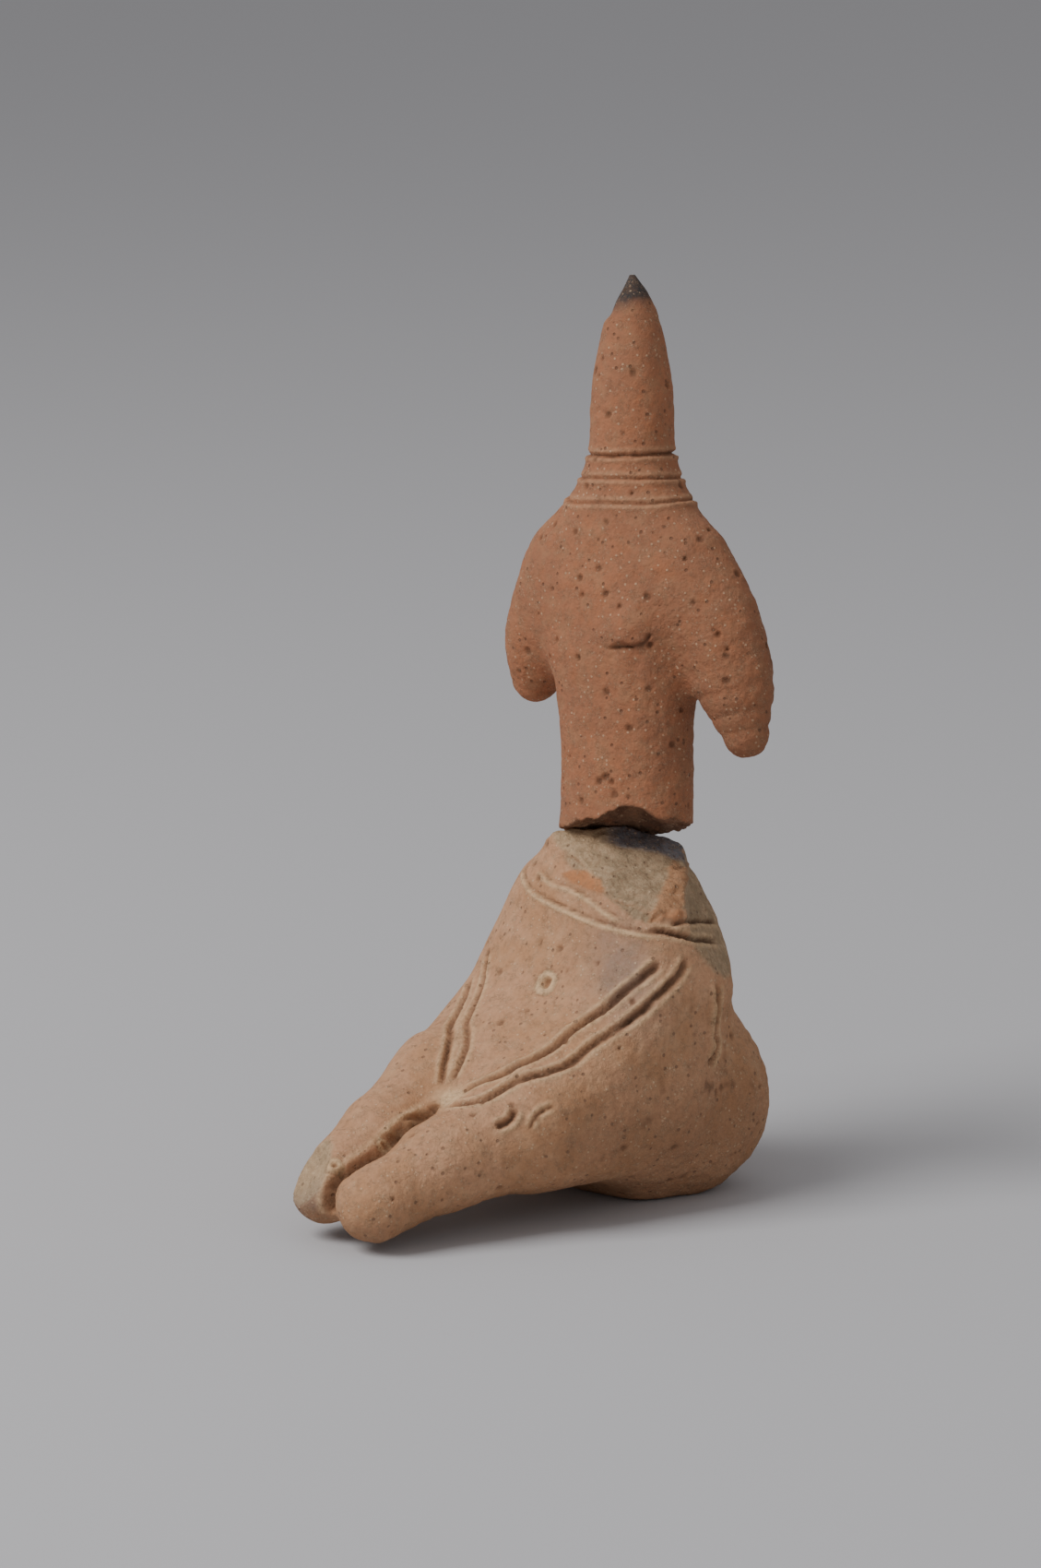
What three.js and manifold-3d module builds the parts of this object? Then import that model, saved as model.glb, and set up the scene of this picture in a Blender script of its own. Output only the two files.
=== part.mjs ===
// A seated female figurine, hand-modelled in clay and fired, broken across the waist.
// Millimetres, +Z up. The figure faces -Y, and its left side is +X.
// The lower fragment sits on its seat, and the upper one rests on the broken waist.
import * as THREE from 'three';
import { mergeVertices } from 'three/addons/utils/BufferGeometryUtils.js';
import Module from 'manifold-3d';

const wasm = await Module();
wasm.setup();

// Driving dimensions
const waistTop = 39; // highest point of the broken waist above the seat
const restGap = 0.3; // between the two fragments where they rest on each other
const clayStep = 1.97; // size of the facets of the clay
const breakStep = 2.4; // size of the facets of the broken faces
const lowerRoom = { low: [-19.2, -46, -4], high: [20, 18, 47] }; // grids that hold the fragments
const upperRoom = { low: [-21.2, -10, -9], high: [22, 12, 64] };
const cutReach = { half: 17, deep: 20 }; // how far the blocks that cut the breaks reach
const breakBearing = THREE.MathUtils.degToRad(48); // level direction that the breaks slope in
const torsoTurn = THREE.MathUtils.degToRad(10); // how far the torso looks to its left
const torsoLean = THREE.MathUtils.degToRad(6.5); // how far it leans back over the waist
const torsoFoot = new THREE.Vector3(0.4, 0.4, waistTop + restGap);

// Level sections of the seated body, flatter in front and rounder behind
const trunk = {
  frontPower: 3.2,
  backPower: 2.2,
  sections: [
    { at: -3, half: 7.4, front: -2, back: 6, aside: 0 },
    { at: 5, half: 12.3, front: -13, back: 11, aside: 0 },
    { at: 10, half: 14.2, front: -19.6, back: 11.6, aside: 0 },
    { at: 14, half: 14.8, front: -22.6, back: 11.2, aside: 0 },
    { at: 18, half: 15, front: -18.8, back: 9.8, aside: 0 },
    { at: 23, half: 15, front: -12.4, back: 8.8, aside: 0 },
    { at: 29, half: 13.5, front: -9.2, back: 8.2, aside: 0 },
    { at: 33.5, half: 10.9, front: -7.9, back: 7.4, aside: 0 },
    { at: 37, half: 8, front: -6.3, back: 6, aside: 0 },
    { at: 43, half: 6.8, front: -5, back: 4.8, aside: 0 },
  ],
};
const buttock = { aside: 7.2, back: 4, up: 9.8, size: [7.4, 8.9, 9.7], soft: 3 };
const hip = { aside: 7.8, forward: 5, up: 11.5, radius: 8.2 };
const thigh = { aside: 6.6, forward: 19, up: 10.6, radius: 7, soft: 1 };
const knee = { aside: 4.9, forward: 29.5, up: 8, radius: 4.4, soft: 2 };
const foot = { aside: 3.8, forward: 38.4, up: 4.7, radius: 3.7 };
const rightLegLift = 1; // the right leg is a little higher than the left
const footLiftShare = 0.6;
const legSoft = { together: 3.4, toBody: 2 };
const lap = { from: [0, -14, 15.2], to: [0, -23.6, 9.8], radii: [5, 3], soft: 3 };
const seat = { rounding: 1, wornTo: 0.12 };

// Level sections of the torso, the neck and the peg head, above the break
const torso = {
  frontPower: 2.15,
  backPower: 2.15,
  sections: [
    { at: -6, half: 7.9, front: -5.8, back: 5.8, aside: -0.3 },
    { at: 7, half: 7.6, front: -5.4, back: 5.5, aside: 0.1 },
    { at: 14, half: 8.1, front: -5.8, back: 5.5, aside: 0.1 },
    { at: 20, half: 9.6, front: -6.2, back: 5.8, aside: -0.2 },
    { at: 26, half: 11.4, front: -6, back: 5.9, aside: -0.2 },
    { at: 30.5, half: 10.6, front: -5.5, back: 5.6, aside: 0 },
    { at: 34, half: 8.2, front: -5, back: 5.2, aside: 0.3 },
    { at: 37, half: 5.9, front: -4.7, back: 4.9, aside: 0.6 },
    { at: 40, half: 4.7, front: -4.4, back: 4.5, aside: 0.7 },
    { at: 46, half: 4.3, front: -4.1, back: 4.1, aside: 0.7 },
    { at: 51, half: 3.6, front: -3.5, back: 3.5, aside: 0.7 },
    { at: 54.6, half: 2.7, front: -2.7, back: 2.7, aside: 0.7 },
    { at: 56.8, half: 1.8, front: -1.8, back: 1.8, aside: 0.7 },
    { at: 58.8, half: 0.3, front: -0.3, back: 0.3, aside: 0.7 },
  ],
};

// The two arm stubs, each a bent roll through points that also give its radius
const arm = { flatness: 0.86, soft: 2.4, pieces: 9 };
const leftArm = [
  { x: 8, y: 0.2, z: 27.5, radius: 4.6 },
  { x: 11.3, y: 0.5, z: 22.5, radius: 5 },
  { x: 13.3, y: 0.8, z: 17, radius: 4.6 },
  { x: 14.9, y: 1.2, z: 10.6, radius: 2.7 },
];
const rightArm = [
  { x: -8, y: 0.2, z: 27.5, radius: 4.4 },
  { x: -10.6, y: 0.5, z: 22.5, radius: 4.6 },
  { x: -12.2, y: 0.9, z: 19, radius: 4.2 },
  { x: -13.4, y: 1.6, z: 15.4, radius: 2.8 },
];

// The breaks: a ridge across the waist, which falls to the front, to the back and to both sides
const ridge = { away: 0.3, fallFront: 0.5, fallBack: 0.33, middle: -2, sideFall: 0.022 };
const lostCorner = { along: 7, step: 1.7, width: 0.8, fall: 1.05 };
const raisedFront = { from: -1, rise: 0.3, drop: 0.4, lift: 0.4 };
const arch = { along: 0.8, width: 2.2, height: 1.5, from: 1.6, over: 3 };
const hollow = { along: 0.5, away: -2, width: 4, depth: 2.4, height: 1.6 };
const waistFlake = { at: [5.6, -8.3, 34], size: [5.2, 1.3, 4], turn: 34, tip: -16 };
const tipChip = { at: [-1.9, -2.05, 57.6], size: 4, turn: 128, tip: 25 };

// Incised lines, each through a few points near the skin
const scribe = { sides: 5, pace: 3, belt: 0.5, groin: 0.55, legs: 0.85, reach: 3 };
const beltLine = [
  [-7.6, -6.4, 33.8], [-5, -8, 32.5], [-1.7, -8.3, 31.9], [4.2, -8.5, 31.1],
  [9, -7.7, 30.6], [12.3, -5.4, 29.9], [12.8, -0.7, 29], [11.3, 3.8, 28],
];
const upperBeltLine = [[10.2, -6.6, 31.8], [12, -3.4, 31.2], [11.6, 0.6, 30.5], [9.4, 5, 29.4]];
const groinLines = [
  [[12.9, -6.4, 27.2], [10.3, -11.4, 22.8], [8, -17.8, 18.6], [4.4, -23.7, 15.7], [1.4, -25, 14.2]],
  [[14, -3.4, 27.4], [13.4, -9.1, 23], [11.4, -15, 19.4], [8.7, -22.3, 16.6], [3.4, -26.2, 13.8]],
  [[-12.6, -8.6, 26], [-7.4, -14, 21.2], [-3.6, -18.7, 18.7], [-0.6, -23, 15.4]],
  [[-13.4, -9.6, 24], [-6.8, -18.2, 19], [-2.5, -23, 16.2], [-0.6, -25, 13.9]],
];
const legLine = [
  [0.3, -26, 13], [0.4, -30, 11], [0.3, -34, 9], [0.2, -38, 7], [0.1, -41.5, 4.6], [0, -42.4, 2],
];

// Marks pressed in with the end of a reed, and the rings round the neck
const navel = { at: [1, -11.7, 23.9], ring: 1.45, tube: 0.3, dot: 0.6 };
const shinStamps = [
  { at: [-3, -38.6, 8.4], ring: 0.95, tube: 0.26, dot: 0.34 },
  { at: [-2.6, -33, 11], ring: 0.65, tube: 0.24, dot: 0.26 },
];
const necklace = { tube: 0.42, tubeSides: 5, sides: 20, searchPace: 0.05 };
const necklaceRings = [
  { up: 39.9, dip: 0.25 },
  { up: 37.5, dip: 0.1 },
  { up: 35.2, dip: 0.3 },
];
const breast = { at: [4.6, -5.1, 21.2], size: [2.7, 1.2, 3], turn: 38, tip: 0, keptAbove: 19.8 };

// Materials
const firedClay = new THREE.MeshStandardMaterial({ color: 0xb07a5c, roughness: 0.92, metalness: 0 });
const redClay = new THREE.MeshStandardMaterial({ color: 0xa4694e, roughness: 0.9, metalness: 0 });

// Distances to two forms joined softly, or cut softly by each other
function join(a, b, soft) {
  const near = Math.max(soft - Math.abs(a - b), 0) / soft;
  return Math.min(a, b) - (near * near * soft) / 4;
}

function trim(a, b, soft) {
  return -join(-a, -b, soft);
}

// A smooth curve through values at stations, which never overshoots them
function curveThrough(stations, values) {
  const rises = [];
  for (let i = 0; i + 1 < stations.length; i += 1) {
    rises.push((values[i + 1] - values[i]) / (stations[i + 1] - stations[i]));
  }
  const slopes = stations.map((_, i) => {
    const before = rises[Math.max(i - 1, 0)];
    const after = rises[Math.min(i, rises.length - 1)];
    return before * after > 0 ? (2 * before * after) / (before + after) : 0;
  });
  return (at) => {
    const last = stations.length - 2;
    const x = THREE.MathUtils.clamp(at, stations[0], stations[last + 1]);
    let i = 0;
    while (i < last && x > stations[i + 1]) i += 1;
    const span = stations[i + 1] - stations[i];
    const t = (x - stations[i]) / span;
    const share = t * t * (3 - 2 * t);
    const leaving = t * (1 - t) * (1 - t) * span * slopes[i];
    const arriving = t * t * (1 - t) * span * slopes[i + 1];
    return values[i] * (1 - share) + values[i + 1] * share + leaving - arriving;
  };
}

function curveOf(sections, name) {
  return curveThrough(sections.map((s) => s.at), sections.map((s) => s[name]));
}

// A body of level sections, each a superellipse
function tower({ frontPower, backPower, sections }) {
  const [half, front, back, aside] = ['half', 'front', 'back', 'aside'].map((name) => {
    return curveOf(sections, name);
  });
  const low = sections[0].at;
  const high = sections[sections.length - 1].at;
  return (x, y, z) => {
    const wide = half(z);
    const middle = (front(z) + back(z)) / 2;
    const deep = (back(z) - front(z)) / 2;
    const power = y < middle ? frontPower : backPower;
    const across = Math.abs((x - aside(z)) / wide) ** power;
    const through = Math.abs((y - middle) / deep) ** power;
    const round = ((across + through) ** (1 / power) - 1) * Math.min(wide, deep);
    return Math.max(round, low - z, z - high);
  };
}

function egg([cx, cy, cz], [rx, ry, rz]) {
  return (x, y, z) => {
    const p = [(x - cx) / rx, (y - cy) / ry, (z - cz) / rz];
    const far = Math.hypot(...p);
    const slope = Math.hypot(p[0] / rx, p[1] / ry, p[2] / rz) || 1;
    return (far * (far - 1)) / slope;
  };
}

// A roll of clay between two points, thicker at one end
function roll(a, b, radiusA, radiusB) {
  const run = b.map((v, i) => v - a[i]);
  const squaredLength = run.reduce((sum, v) => sum + v * v, 0);
  return (x, y, z) => {
    const from = [x - a[0], y - a[1], z - a[2]];
    const dot = from.reduce((sum, v, i) => sum + v * run[i], 0);
    const t = THREE.MathUtils.clamp(dot / squaredLength, 0, 1);
    const off = from.map((v, i) => v - t * run[i]);
    return Math.hypot(...off) - radiusA - t * (radiusB - radiusA);
  };
}

// A bent, tapering stub, flattened front to back
function stub(points) {
  const stations = points.map((_, i) => i);
  const [x, y, z, radius] = ['x', 'y', 'z', 'radius'].map((name) => {
    return curveThrough(stations, points.map((p) => p[name]));
  });
  const rolls = [];
  for (let i = 0; i < arm.pieces; i += 1) {
    const [start, end] = [i, i + 1].map((k) => (k / arm.pieces) * (points.length - 1));
    const place = (t) => [x(t), y(t) / arm.flatness, z(t)];
    rolls.push(roll(place(start), place(end), radius(start), radius(end)));
  }
  return (px, py, pz) => {
    const stretched = py / arm.flatness;
    return Math.min(...rolls.map((part) => part(px, stretched, pz))) * arm.flatness;
  };
}

// The seated lower body, before it broke
const trunkForm = tower(trunk);
const buttockForms = [1, -1].map((side) => {
  return egg([side * buttock.aside, buttock.back, buttock.up], buttock.size);
});
const legForms = [[1, 0], [-1, rightLegLift]].map(([side, lift]) => {
  const joint = (part, raised) => [side * part.aside, -part.forward, part.up + raised];
  const upper = roll(joint(hip, 0), joint(thigh, lift), hip.radius, thigh.radius);
  const lower = roll(joint(thigh, lift), joint(knee, lift), thigh.radius, knee.radius);
  const raisedFoot = joint(foot, footLiftShare * lift);
  const shin = roll(joint(knee, lift), raisedFoot, knee.radius, foot.radius);
  return (...p) => join(join(upper(...p), lower(...p), thigh.soft), shin(...p), knee.soft);
});
const lapForm = roll(lap.from, lap.to, ...lap.radii);

function lowerBody(...p) {
  let body = trunkForm(...p);
  for (const part of buttockForms) body = join(body, part(...p), buttock.soft);
  const bothLegs = join(legForms[0](...p), legForms[1](...p), legSoft.together);
  body = join(body, bothLegs, legSoft.toBody);
  body = join(body, lapForm(...p), lap.soft);
  return trim(body, -p[2], seat.rounding);
}

// The upper body in its own upright frame, with the break near its zero height
const torsoForm = tower(torso);
const armForms = [leftArm, rightArm].map(stub);

function upperBody(...p) {
  let body = torsoForm(...p);
  for (const part of armForms) body = join(body, part(...p), arm.soft);
  return body;
}

// Level distances along the bearing of the breaks and across it
function bearing(x, y) {
  const along = x * Math.cos(breakBearing) + y * Math.sin(breakBearing);
  const away = y * Math.cos(breakBearing) - x * Math.sin(breakBearing);
  return [along, away];
}

function easedStep(value, at, width) {
  return THREE.MathUtils.smoothstep(value, at - width / 2, at + width / 2);
}

function hump(distance, width) {
  return Math.exp(-((distance / width) ** 2));
}

// Height of the waist's ridge, which carries the upper fragment
function ridgeHeight(along, away) {
  const crown = waistTop - ridge.sideFall * (along - ridge.middle) ** 2;
  const back = ridge.fallBack * Math.max(away - ridge.away, 0);
  const front = ridge.fallFront * Math.max(ridge.away - away, 0);
  return crown - back - front;
}

// The broken waist, with the corner lost at its left side
function waistBreak(x, y) {
  const [along, away] = bearing(x, y);
  const past = Math.max(along - lostCorner.along, 0);
  const step = lostCorner.step * easedStep(along, lostCorner.along, lostCorner.width);
  return ridgeHeight(along, away) - step - lostCorner.fall * past;
}

// The underside of the torso: it rests on the ridge behind, and is arched and hollow in front
function torsoBreak(x, y) {
  const [along, away] = bearing(x, y);
  const front = raisedFront.rise * Math.max(raisedFront.from - away, 0);
  const back = raisedFront.drop * Math.max(away - raisedFront.from, 0);
  const arched = arch.height * hump(along - arch.along, arch.width)
    * easedStep(-away, arch.from, arch.over);
  const scooped = hollow.height * hump(along - hollow.along, hollow.width)
    * hump(away - hollow.away, hollow.depth);
  const raised = waistTop + raisedFront.lift + front - back + arched + scooped;
  return Math.max(ridgeHeight(along, away) + restGap, raised);
}

// Moves a point onto a form, no further than a limit
function ontoForm(form, start, limit) {
  const probe = 0.05;
  const rounds = 4;
  let at = [...start];
  for (let i = 0; i < rounds; i += 1) {
    const distance = form(...at);
    const slope = at.map((_, axis) => {
      const shifted = at.map((v, m) => (m === axis ? v + probe : v));
      return (form(...shifted) - distance) / probe;
    });
    const steep = slope.reduce((sum, v) => sum + v * v, 0) || 1;
    at = at.map((v, axis) => v - (distance * slope[axis]) / steep);
  }
  const moved = Math.hypot(...at.map((v, axis) => v - start[axis]));
  const share = moved > limit ? limit / moved : 1;
  return at.map((v, axis) => start[axis] + (v - start[axis]) * share);
}

// The outward direction of a form's skin
function outward(form, at) {
  const reach = 0.5;
  const slope = at.map((_, axis) => {
    const [before, after] = [-reach, reach].map((d) => at.map((v, m) => (m === axis ? v + d : v)));
    return form(...after) - form(...before);
  });
  return new THREE.Vector3(...slope).normalize();
}

// Two triangles across the shorter diagonal of a quad
function splitQuad(points, [a, b, c, d]) {
  const span = (m, n) => Math.hypot(...points[m].map((v, i) => v - points[n][i]));
  return span(a, c) < span(b, d) ? [a, b, c, a, c, d] : [a, b, d, b, c, d];
}

// The closed skin of a form: a point in each cell of a grid that it crosses, and a quad round
// each grid edge that it crosses
function skin(form, { low, high }) {
  const count = low.map((v, i) => Math.ceil((high[i] - v) / clayStep) + 1);
  const [nx, ny, nz] = count;
  const index = (i, j, k) => (i * ny + j) * nz + k;
  const place = (at) => at.map((v, axis) => low[axis] + v * clayStep);
  const value = new Float32Array(nx * ny * nz);
  const eachCell = (start, visit) => {
    for (let i = start; i + 1 < nx; i += 1) {
      for (let j = start; j + 1 < ny; j += 1) {
        for (let k = start; k + 1 < nz; k += 1) visit(i, j, k);
      }
    }
  };
  eachCell(0, (i, j, k) => {
    value[index(i, j, k)] = form(...place([i, j, k]));
  });
  const cellEdges = [];
  for (let corner = 0; corner < 8; corner += 1) {
    const from = [corner & 1, (corner >> 1) & 1, (corner >> 2) & 1];
    for (let axis = 0; axis < 3; axis += 1) {
      if (from[axis] === 0) cellEdges.push([from, from.map((v, m) => (m === axis ? 1 : v))]);
    }
  }
  const points = [];
  const pointOf = new Int32Array(value.length).fill(-1);
  eachCell(0, (i, j, k) => {
    const sum = [0, 0, 0];
    let crossings = 0;
    for (const [a, b] of cellEdges) {
      const before = value[index(i + a[0], j + a[1], k + a[2])];
      const after = value[index(i + b[0], j + b[1], k + b[2])];
      if (before < 0 !== after < 0) {
        const t = before / (before - after);
        for (let axis = 0; axis < 3; axis += 1) sum[axis] += a[axis] + t * (b[axis] - a[axis]);
        crossings += 1;
      }
    }
    if (crossings > 0) {
      pointOf[index(i, j, k)] = points.length;
      const at = place([i, j, k].map((v, axis) => v + sum[axis] / crossings));
      points.push(ontoForm(form, at, clayStep / 4));
    }
  });
  const triangles = [];
  const axes = [[0, 1, 2], [1, 2, 0], [2, 0, 1]];
  const round = [[1, 1], [0, 1], [0, 0], [1, 0]];
  eachCell(1, (i, j, k) => {
    const inside = value[index(i, j, k)] < 0;
    for (const [axis, u, v] of axes) {
      const next = [i, j, k].map((n, m) => (m === axis ? n + 1 : n));
      if (inside !== value[index(...next)] < 0) {
        const quad = round.map(([du, dv]) => {
          const at = [i, j, k];
          at[u] -= du;
          at[v] -= dv;
          return pointOf[index(...at)];
        });
        if (!inside) quad.reverse();
        triangles.push(...splitQuad(points, quad));
      }
    }
  });
  const geometry = new THREE.BufferGeometry();
  geometry.setAttribute('position', new THREE.Float32BufferAttribute(points.flat(), 3));
  geometry.setIndex(triangles);
  return geometry;
}

function solid(geometry) {
  geometry.deleteAttribute('normal');
  geometry.deleteAttribute('uv');
  const welded = mergeVertices(geometry, 1e-4);
  return new wasm.Manifold(new wasm.Mesh({
    numProp: 3,
    vertProperties: new Float32Array(welded.attributes.position.array),
    triVerts: new Uint32Array(welded.index.array),
  }));
}

function geometryOf(body) {
  const { vertProperties, triVerts } = body.getMesh();
  const geometry = new THREE.BufferGeometry();
  geometry.setAttribute('position', new THREE.BufferAttribute(vertProperties, 3));
  geometry.setIndex(new THREE.BufferAttribute(triVerts, 1));
  return geometry;
}

function namedMesh(body, name, material) {
  const geometry = geometryOf(body);
  geometry.computeVertexNormals();
  const mesh = new THREE.Mesh(geometry, material);
  mesh.name = name;
  return mesh;
}

// A round tool drawn along a line on the clay
function drawnTool(form, line, radius) {
  const guide = new THREE.CatmullRomCurve3(line.map((p) => new THREE.Vector3(...p)));
  const steps = Math.ceil(guide.getLength() / scribe.pace);
  const onSkin = guide.getSpacedPoints(steps).map((p) => {
    return new THREE.Vector3(...ontoForm(form, p.toArray(), scribe.reach));
  });
  const corners = [];
  for (let i = 0; i < scribe.sides; i += 1) {
    const angle = (i / scribe.sides) * 2 * Math.PI;
    corners.push(new THREE.Vector2(radius * Math.cos(angle), radius * Math.sin(angle)));
  }
  const extrudePath = new THREE.CatmullRomCurve3(onSkin);
  return solid(new THREE.ExtrudeGeometry(new THREE.Shape(corners), { steps, extrudePath }));
}

// A ring and a dot pressed in with the end of a reed
function reedStamp(form, { at, ring, tube, dot }) {
  const place = ontoForm(form, at, scribe.reach);
  const up = new THREE.Vector3(0, 0, 1);
  const turn = new THREE.Quaternion().setFromUnitVectors(up, outward(form, place));
  const settle = (geometry) => solid(geometry.applyQuaternion(turn).translate(...place));
  const rim = settle(new THREE.TorusGeometry(ring, tube, 5, 14));
  return rim.add(settle(new THREE.SphereGeometry(dot, 7, 5)));
}

// A groove tool that follows the neck's skin all round, dipping in front
const neckAside = curveOf(torso.sections, 'aside');

function neckTool({ up, dip }) {
  const middle = neckAside(up);
  const geometry = new THREE.TorusGeometry(1, necklace.tube, necklace.tubeSides, necklace.sides);
  const place = geometry.attributes.position;
  for (let i = 0; i < place.count; i += 1) {
    const [x, y] = [place.getX(i), place.getY(i)];
    const out = Math.hypot(x, y);
    const [dx, dy] = [x / out, y / out];
    let skinAt = 0;
    while (upperBody(middle + dx * skinAt, dy * skinAt, up) < 0) skinAt += necklace.searchPace;
    const reach = skinAt + out - 1;
    const sag = dip * Math.max(-dy, 0);
    place.setXYZ(i, middle + dx * reach, dy * reach, place.getZ(i) + up - sag);
  }
  return solid(geometry);
}

// A small block or lens of clay, turned about the upright and then tipped
function placed(geometry, { at, turn, tip }) {
  geometry.rotateX(THREE.MathUtils.degToRad(tip));
  geometry.rotateZ(THREE.MathUtils.degToRad(turn));
  return solid(geometry.translate(...at));
}

// A block with one broken face: its lower face if it lies above (1), its upper face if below (-1)
function brokenBlock(height, side) {
  const width = 2 * cutReach.half;
  const count = Math.round(width / breakStep);
  const block = new THREE.BoxGeometry(width, width, 1, count, count, 1);
  const place = block.attributes.position;
  for (let i = 0; i < place.count; i += 1) {
    const broken = place.getZ(i) * side < 0;
    const end = waistTop + side * cutReach.deep;
    place.setZ(i, broken ? height(place.getX(i), place.getY(i)) : end);
  }
  return solid(block);
}

function hipsAndLegs() {
  let body = solid(skin(lowerBody, lowerRoom));
  body = body.trimByPlane([0, 0, 1], seat.wornTo);
  body = body.subtract(brokenBlock(waistBreak, 1));
  const flake = new THREE.SphereGeometry(1, 12, 8).scale(...waistFlake.size);
  body = body.subtract(placed(flake, waistFlake));
  for (const line of [beltLine, upperBeltLine]) {
    body = body.subtract(drawnTool(lowerBody, line, scribe.belt));
  }
  for (const line of groinLines) body = body.subtract(drawnTool(lowerBody, line, scribe.groin));
  body = body.subtract(drawnTool(lowerBody, legLine, scribe.legs));
  for (const stamp of [navel, ...shinStamps]) body = body.subtract(reedStamp(lowerBody, stamp));
  return namedMesh(body, 'hips_and_legs', firedClay);
}

function torsoAndHead() {
  let body = solid(skin(upperBody, upperRoom));
  for (const ring of necklaceRings) body = body.subtract(neckTool(ring));
  const lump = placed(new THREE.SphereGeometry(1, 12, 8).scale(...breast.size), breast);
  body = body.add(lump.trimByPlane([0, 0, 1], breast.keptAbove));
  const chip = new THREE.BoxGeometry(tipChip.size, tipChip.size, tipChip.size);
  body = body.subtract(placed(chip, tipChip));
  const axis = new THREE.Vector3(Math.cos(breakBearing), Math.sin(breakBearing), 0);
  const lean = new THREE.Quaternion().setFromAxisAngle(axis, -torsoLean);
  const turn = new THREE.Quaternion().setFromAxisAngle(new THREE.Vector3(0, 0, 1), torsoTurn);
  const standing = geometryOf(body).applyQuaternion(lean.multiply(turn));
  standing.translate(...torsoFoot.toArray());
  body = solid(standing).subtract(brokenBlock(torsoBreak, -1));
  return namedMesh(body, 'torso_and_head', redClay);
}

const figurine = new THREE.Group();
figurine.add(hipsAndLegs(), torsoAndHead());

// The origin is on the ground under the middle of the whole figurine
const bounds = new THREE.Box3().setFromObject(figurine);
const middle = bounds.getCenter(new THREE.Vector3());
figurine.position.set(-middle.x, -middle.y, -bounds.min.z);

export default figurine;
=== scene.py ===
import math

import bpy
import numpy as np
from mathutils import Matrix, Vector


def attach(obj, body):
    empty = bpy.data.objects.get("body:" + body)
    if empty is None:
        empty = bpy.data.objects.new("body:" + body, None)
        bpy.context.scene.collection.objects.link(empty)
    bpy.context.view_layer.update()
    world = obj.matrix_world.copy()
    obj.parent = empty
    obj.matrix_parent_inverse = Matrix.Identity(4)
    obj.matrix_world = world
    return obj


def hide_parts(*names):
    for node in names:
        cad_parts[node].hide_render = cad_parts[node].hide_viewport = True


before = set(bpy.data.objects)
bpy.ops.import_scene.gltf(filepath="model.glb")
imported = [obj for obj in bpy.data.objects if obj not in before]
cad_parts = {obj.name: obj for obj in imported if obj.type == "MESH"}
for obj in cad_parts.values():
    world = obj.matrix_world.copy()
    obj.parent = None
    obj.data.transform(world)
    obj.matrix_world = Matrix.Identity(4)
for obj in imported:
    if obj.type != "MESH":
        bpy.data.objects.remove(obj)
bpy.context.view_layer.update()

# Hips and legs
# The lower fragment: hips, buttocks and outstretched legs pinched and rolled from one lump of
# coarse clay with sand and chaff in it, smoothed with wet fingers, incised, stamped and fired.
# It sits on its flattened seat, and its broken waist carries the upper fragment.

# millimetres from the body's own upright axis to the middle of the whole figurine
ground_shift = np.array([0.432, 14.601, -0.12])
lower_cell = 0.285
lower_room = ((-17.5, -44.0, -0.6), (18.5, 15.0, 40.6))
seat_worn_to = 0.12

trunk_sections = (  # height, half width, front, back, aside
    (-3, 7.4, -2, 6, 0),
    (5, 12.3, -13, 11, 0),
    (10, 14.2, -19.6, 11.6, 0),
    (14, 14.8, -22.6, 11.2, 0),
    (18, 15, -18.8, 9.8, 0),
    (23, 15, -12.4, 8.8, 0),
    (29, 13.5, -9.2, 8.2, 0),
    (33.5, 10.9, -7.9, 7.4, 0),
    (37, 8, -6.3, 6, 0),
    (43, 6.8, -5, 4.8, 0),
)


def join(a, b, soft):
    """Two forms pressed together, with a soft seam between them."""
    near = np.maximum(soft - np.abs(a - b), 0) / soft
    return np.minimum(a, b) - near * near * soft / 4


def trim(a, b, soft):
    """A form cut off by another, with a soft edge."""
    return -join(-a, -b, soft)


def ease(value, low, high):
    """A smooth step from 0 at low to 1 at high."""
    t = np.clip((value - low) / (high - low), 0, 1)
    return t * t * (3 - 2 * t)


def smooth_curve(stations, values, at):
    """A smooth curve through values at stations, which never overshoots them."""
    rise = np.diff(values) / np.diff(stations)
    before = np.append(rise[0], rise)
    after = np.append(rise, rise[-1])
    both = np.where(before * after > 0, before + after, 1)
    slope = np.where(before * after > 0, 2 * before * after / both, 0)
    at = np.clip(at, stations[0], stations[-1])
    i = np.clip(np.searchsorted(stations, at) - 1, 0, len(values) - 2)
    span = (stations[1:] - stations[:-1])[i]
    t = (at - stations[i]) / span
    share = t * t * (3 - 2 * t)
    leaving = t * (1 - t) ** 2 * span * slope[i]
    arriving = t * t * (1 - t) * span * slope[i + 1]
    return values[i] * (1 - share) + values[i + 1] * share + leaving - arriving


def stacked(p, sections, front_power, back_power):
    """A body of level sections, each a superellipse."""
    rows = np.array(sections, float)
    half, front, back, aside = (smooth_curve(rows[:, 0], rows[:, k], p[:, 2]) for k in range(1, 5))
    middle = (front + back) / 2
    deep = (back - front) / 2
    power = np.where(p[:, 1] < middle, front_power, back_power)
    across = np.abs((p[:, 0] - aside) / half) ** power
    through = np.abs((p[:, 1] - middle) / deep) ** power
    round_form = ((across + through) ** (1 / power) - 1) * np.minimum(half, deep)
    ends = np.maximum(rows[0, 0] - p[:, 2], p[:, 2] - rows[-1, 0])
    return np.maximum(round_form, ends)


def egg(p, centre, size):
    """An egg-shaped lump."""
    q = (p - np.array(centre)) / np.array(size)
    far = np.sqrt((q * q).sum(1))
    slope = np.sqrt(((q / np.array(size)) ** 2).sum(1)) + 1e-9
    return far * (far - 1) / slope


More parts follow.
